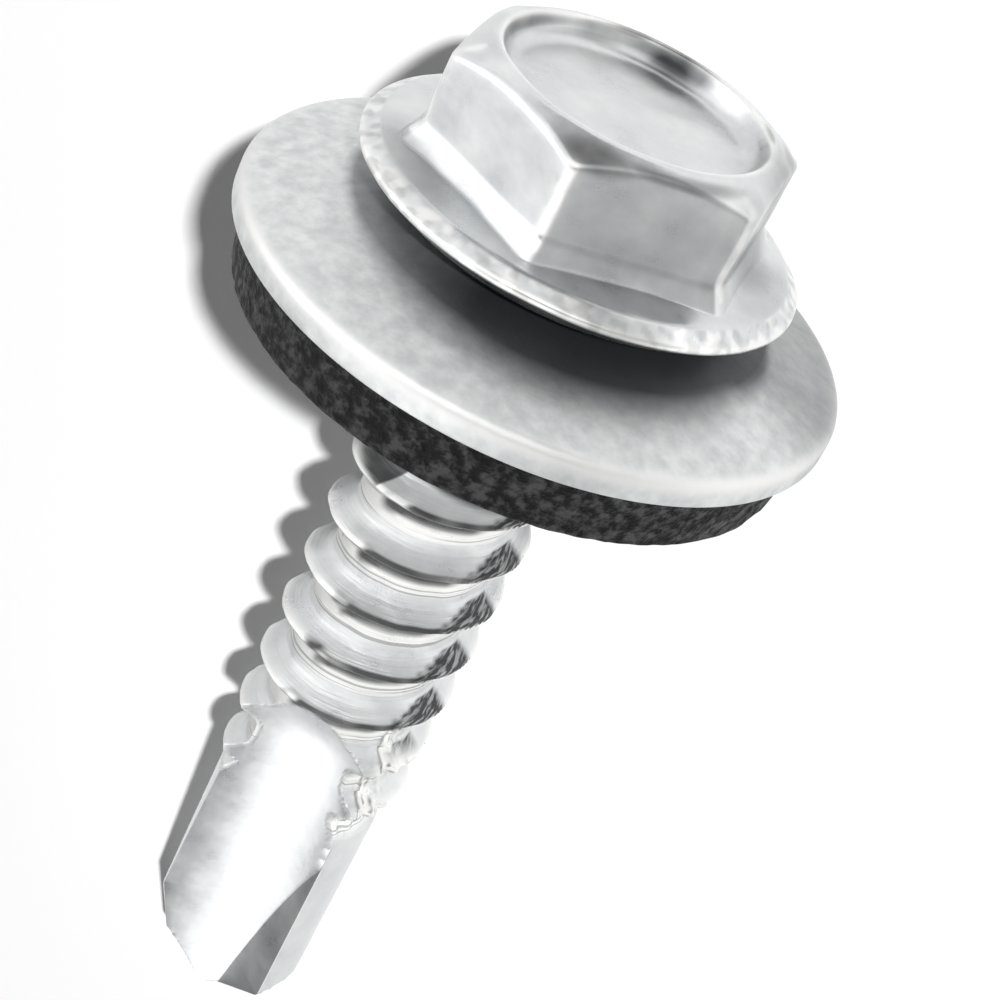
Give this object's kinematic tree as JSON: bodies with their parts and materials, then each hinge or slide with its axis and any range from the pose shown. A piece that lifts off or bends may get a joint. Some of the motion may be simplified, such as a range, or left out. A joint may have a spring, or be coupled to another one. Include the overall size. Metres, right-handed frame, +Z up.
{
  "type": "self drilling screw",
  "caption": "Self-drilling sheet-metal screw with a hex washer head, coarse thread, fluted drill point and a bonded rubber sealing washer.",
  "frame": {"origin": "bottom centre of the part's box as it lies at rest: the washer's rim and the drill point touch the floor at Z = 0", "axes": "+Y along the screw's length on the floor, towards the head; +Z up, square to the floor"},
  "size_m": [0.016, 0.0322, 0.0155],
  "materials": {
    "zinc_plated_steel": "bright zinc plate over forged and rolled carbon steel",
    "galvanised_steel": "matt galvanised sheet, pressed",
    "epdm_rubber": "matt black EPDM with a grainy cut edge"
  },
  "bodies": {
    "screw": {"screw": "zinc_plated_steel"},
    "washer": {"steel_washer": "galvanised_steel", "rubber_seal": "epdm_rubber"}
  },
  "joints": [
    {"name": "washer_spin", "type": "hinge", "parent": "screw", "child": "washer", "pos_m": [0, 0.01131, 0.00824], "axis": [0, 0.9612, 0.2759], "continuous": true}
  ]
}
